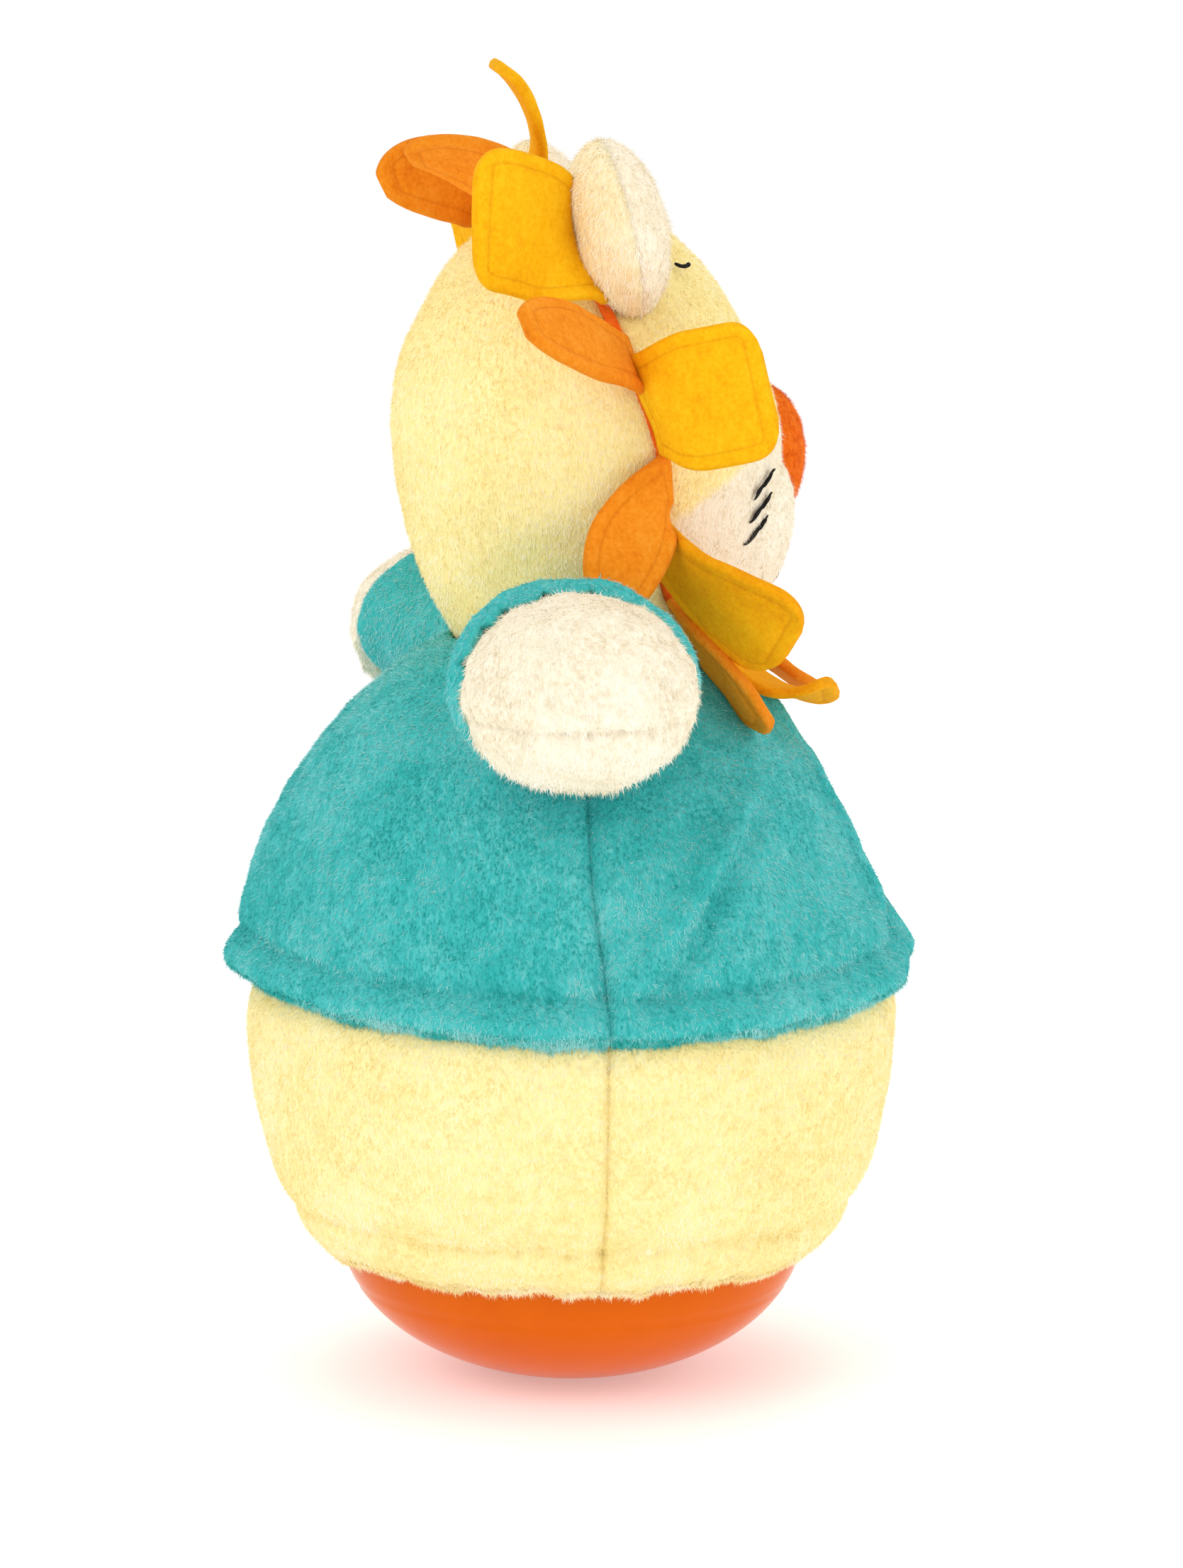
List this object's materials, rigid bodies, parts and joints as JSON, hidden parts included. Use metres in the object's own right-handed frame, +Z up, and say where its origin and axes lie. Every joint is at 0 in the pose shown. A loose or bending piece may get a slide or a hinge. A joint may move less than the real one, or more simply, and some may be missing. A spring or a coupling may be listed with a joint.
{
  "type": "roly poly toy",
  "caption": "Plush lion roly poly with a weighted bowl base that rocks upright, a sealed chime with a swinging clapper, soft arms, ears and a felt petal mane.",
  "frame": {"origin": "middle of the small flat that the bowl rests on", "axes": "+Z up, the face looks along -Y, the lion's left is +X"},
  "size_m": [0.1288, 0.1068, 0.216],
  "materials": {
    "bowl": "polished moulded plastic",
    "inner_plastic": "satin moulded plastic",
    "steel": "plated",
    "iron": "as cast",
    "rod_metal": "drawn",
    "elastic": "covered cord",
    "stuffing": "loose fibre",
    "yellow_plush": "short pile plush",
    "teal_plush": "short pile plush",
    "cream_plush": "short pile plush",
    "orange_plush": "short pile plush",
    "tape_felt": "felt",
    "yellow_felt": "double felt, stitched round the edge",
    "orange_felt": "double felt, stitched round the edge",
    "black_thread": "embroidery thread"
  },
  "bodies": {
    "body": {"base_bowl": "bowl", "capsule_dome": "inner_plastic", "dome_screws": "steel", "counterweight": "iron", "weight_screw": "steel", "chime_plate": "inner_plastic", "chime_rods": "rod_metal", "chime_hanger": "inner_plastic", "hanger_nut": "steel", "hanger_pin": "steel", "hem_elastic": "elastic", "cover_front": "yellow_plush", "cover_back": "yellow_plush", "body_stuffing": "stuffing", "vest_back": "teal_plush", "vest_front_right": "teal_plush", "vest_front_left": "teal_plush"},
    "clapper_link": {"clapper_link": "inner_plastic", "clapper_pin": "steel"},
    "clapper": {"clapper_stem": "steel", "clapper_ball": "steel"},
    "arm_right": {"sleeve_right": "teal_plush", "paw_right": "cream_plush", "arm_stuffing_right": "stuffing"},
    "arm_left": {"sleeve_left": "teal_plush", "paw_left": "cream_plush", "arm_stuffing_left": "stuffing"},
    "head": {"head_back": "yellow_plush", "head_face": "yellow_plush", "head_stuffing": "stuffing", "muzzle": "cream_plush", "nose": "orange_plush", "mane_tape": "tape_felt", "eye_stitches": "black_thread", "whisker_stitches": "black_thread", "mouth_stitches": "black_thread"},
    "ear_right": {"ear_back_right": "yellow_plush", "ear_front_right": "cream_plush"},
    "ear_left": {"ear_back_left": "yellow_plush", "ear_front_left": "cream_plush"},
    "petal_yellow_1": {"petal_yellow_1": "yellow_felt"},
    "petal_orange_1": {"petal_orange_1": "orange_felt"},
    "petal_yellow_2": {"petal_yellow_2": "yellow_felt"},
    "petal_orange_2": {"petal_orange_2": "orange_felt"},
    "petal_yellow_3": {"petal_yellow_3": "yellow_felt"},
    "petal_orange_3": {"petal_orange_3": "orange_felt"},
    "petal_yellow_4": {"petal_yellow_4": "yellow_felt"},
    "petal_orange_4": {"petal_orange_4": "orange_felt"},
    "petal_yellow_5": {"petal_yellow_5": "yellow_felt"},
    "petal_orange_5": {"petal_orange_5": "orange_felt"},
    "petal_yellow_6": {"petal_yellow_6": "yellow_felt"},
    "petal_orange_6": {"petal_orange_6": "orange_felt"},
    "petal_yellow_7": {"petal_yellow_7": "yellow_felt"},
    "petal_orange_7": {"petal_orange_7": "orange_felt"},
    "petal_yellow_8": {"petal_yellow_8": "yellow_felt"},
    "petal_orange_8": {"petal_orange_8": "orange_felt"},
    "petal_yellow_9": {"petal_yellow_9": "yellow_felt"},
    "petal_orange_9": {"petal_orange_9": "orange_felt"}
  },
  "joints": [
    {"name": "clapper_swing_fore", "type": "hinge", "parent": "body", "child": "clapper_link", "pos_m": [0, 0, 0.05479], "axis": [1, 0, 0], "range_deg": [-16, 16]},
    {"name": "clapper_swing_side", "type": "hinge", "parent": "clapper_link", "child": "clapper", "pos_m": [0, 0, 0.04879], "axis": [0, 1, 0], "range_deg": [-22, 22]},
    {"name": "head_nod", "type": "hinge", "parent": "body", "child": "head", "pos_m": [0, -0.003, 0.13599], "axis": [-1, 0, 0], "range_deg": [0, 6], "stiffness_Nm_per_rad": 0.5},
    {"name": "arm_right_flap", "type": "hinge", "parent": "body", "child": "arm_right", "pos_m": [-0.0289, 0.00614, 0.11509], "axis": [0.2079, 0.9781, 0], "range_deg": [-10, 3], "stiffness_Nm_per_rad": 0.1},
    {"name": "arm_left_flap", "type": "hinge", "parent": "body", "child": "arm_left", "pos_m": [0.0289, 0.00614, 0.11509], "axis": [0.2079, -0.9781, 0], "range_deg": [-10, 3], "stiffness_Nm_per_rad": 0.1},
    {"name": "ear_right_bend", "type": "hinge", "parent": "head", "child": "ear_right", "pos_m": [-0.02193, -0.00394, 0.17597], "axis": [0.9703, 0, 0.2419], "range_deg": [0, 10], "stiffness_Nm_per_rad": 0.02},
    {"name": "ear_left_bend", "type": "hinge", "parent": "head", "child": "ear_left", "pos_m": [0.02193, -0.00394, 0.17597], "axis": [0.9703, 0, -0.2419], "range_deg": [0, 10], "stiffness_Nm_per_rad": 0.02},
    {"name": "petal_yellow_1_fold", "type": "hinge", "parent": "head", "child": "petal_yellow_1", "pos_m": [0, 0.00715, 0.19214], "axis": [1, 0, 0], "range_deg": [-8, 10], "stiffness_Nm_per_rad": 0.0015},
    {"name": "petal_orange_1_fold", "type": "hinge", "parent": "head", "child": "petal_orange_1", "pos_m": [-0.01357, 0.00601, 0.18897], "axis": [0.8894, 0.1518, 0.4312], "range_deg": [0, 10], "stiffness_Nm_per_rad": 0.0015},
    {"name": "petal_yellow_2_fold", "type": "hinge", "parent": "head", "child": "petal_yellow_2", "pos_m": [-0.02434, 0.00323, 0.18125], "axis": [0.6401, 0.2552, 0.7246], "range_deg": [0, 3], "stiffness_Nm_per_rad": 0.0015},
    {"name": "petal_orange_2_fold", "type": "hinge", "parent": "head", "child": "petal_orange_2", "pos_m": [-0.03048, -0.00052, 0.17078], "axis": [0.363, 0.3095, 0.8789], "range_deg": [0, 10], "stiffness_Nm_per_rad": 0.0015},
    {"name": "petal_yellow_3_fold", "type": "hinge", "parent": "head", "child": "petal_yellow_3", "pos_m": [-0.03359, -0.00443, 0.15996], "axis": [-0.0961, -0.3306, -0.9389], "range_deg": [0, 12], "stiffness_Nm_per_rad": 0.0015},
    {"name": "petal_orange_3_fold", "type": "hinge", "parent": "head", "child": "petal_orange_3", "pos_m": [-0.03326, -0.00762, 0.14891], "axis": [-0.098, 0.0979, 0.9904], "range_deg": [0, 6], "stiffness_Nm_per_rad": 0.0015},
    {"name": "petal_yellow_4_fold", "type": "hinge", "parent": "head", "child": "petal_yellow_4", "pos_m": [-0.03076, -0.00787, 0.1368], "axis": [0.2889, -0.0661, -0.9551], "range_deg": [0, 8], "stiffness_Nm_per_rad": 0.0015},
    {"name": "petal_orange_4_fold", "type": "hinge", "parent": "head", "child": "petal_orange_4", "pos_m": [-0.02482, -0.01208, 0.12603], "axis": [-0.5594, 0.5578, 0.6131], "range_deg": [0, 2], "stiffness_Nm_per_rad": 0.0015},
    {"name": "petal_yellow_5_fold", "type": "hinge", "parent": "head", "child": "petal_yellow_5", "pos_m": [-0.01368, -0.02226, 0.12136], "axis": [0.8154, -0.579, -0.0003], "range_deg": [0, 2], "stiffness_Nm_per_rad": 0.0015},
    {"name": "petal_orange_5_fold", "type": "hinge", "parent": "head", "child": "petal_orange_5", "pos_m": [0, -0.02735, 0.12286], "axis": [1, 0, 0], "range_deg": [-8, 10], "stiffness_Nm_per_rad": 0.0015},
    {"name": "petal_yellow_6_fold", "type": "hinge", "parent": "head", "child": "petal_yellow_6", "pos_m": [0.01369, -0.02228, 0.12134], "axis": [0.8154, 0.579, 0.0003], "range_deg": [0, 3], "stiffness_Nm_per_rad": 0.0015},
    {"name": "petal_orange_6_fold", "type": "hinge", "parent": "head", "child": "petal_orange_6", "pos_m": [0.02479, -0.01207, 0.12605], "axis": [-0.5594, -0.5578, -0.6131], "range_deg": [0, 2], "stiffness_Nm_per_rad": 0.0015},
    {"name": "petal_yellow_7_fold", "type": "hinge", "parent": "head", "child": "petal_yellow_7", "pos_m": [0.03076, -0.00787, 0.1368], "axis": [0.2889, 0.0661, 0.9551], "range_deg": [0, 5], "stiffness_Nm_per_rad": 0.0015},
    {"name": "petal_orange_7_fold", "type": "hinge", "parent": "head", "child": "petal_orange_7", "pos_m": [0.03312, -0.0076, 0.14892], "axis": [-0.098, -0.0979, -0.9904], "range_deg": [0, 12], "stiffness_Nm_per_rad": 0.0015},
    {"name": "petal_yellow_8_fold", "type": "hinge", "parent": "head", "child": "petal_yellow_8", "pos_m": [0.03358, -0.00443, 0.15996], "axis": [-0.0961, 0.3306, 0.9389], "range_deg": [0, 12], "stiffness_Nm_per_rad": 0.0015},
    {"name": "petal_orange_8_fold", "type": "hinge", "parent": "head", "child": "petal_orange_8", "pos_m": [0.03016, -0.00054, 0.17066], "axis": [0.363, -0.3095, -0.8789], "range_deg": [-8, 10], "stiffness_Nm_per_rad": 0.0015},
    {"name": "petal_yellow_9_fold", "type": "hinge", "parent": "head", "child": "petal_yellow_9", "pos_m": [0.02415, 0.00318, 0.1811], "axis": [0.6401, -0.2552, -0.7246], "range_deg": [0, 12], "stiffness_Nm_per_rad": 0.0015},
    {"name": "petal_orange_9_fold", "type": "hinge", "parent": "head", "child": "petal_orange_9", "pos_m": [0.0137, 0.0061, 0.18921], "axis": [0.8894, -0.1518, -0.4312], "range_deg": [0, 3], "stiffness_Nm_per_rad": 0.0015}
  ]
}
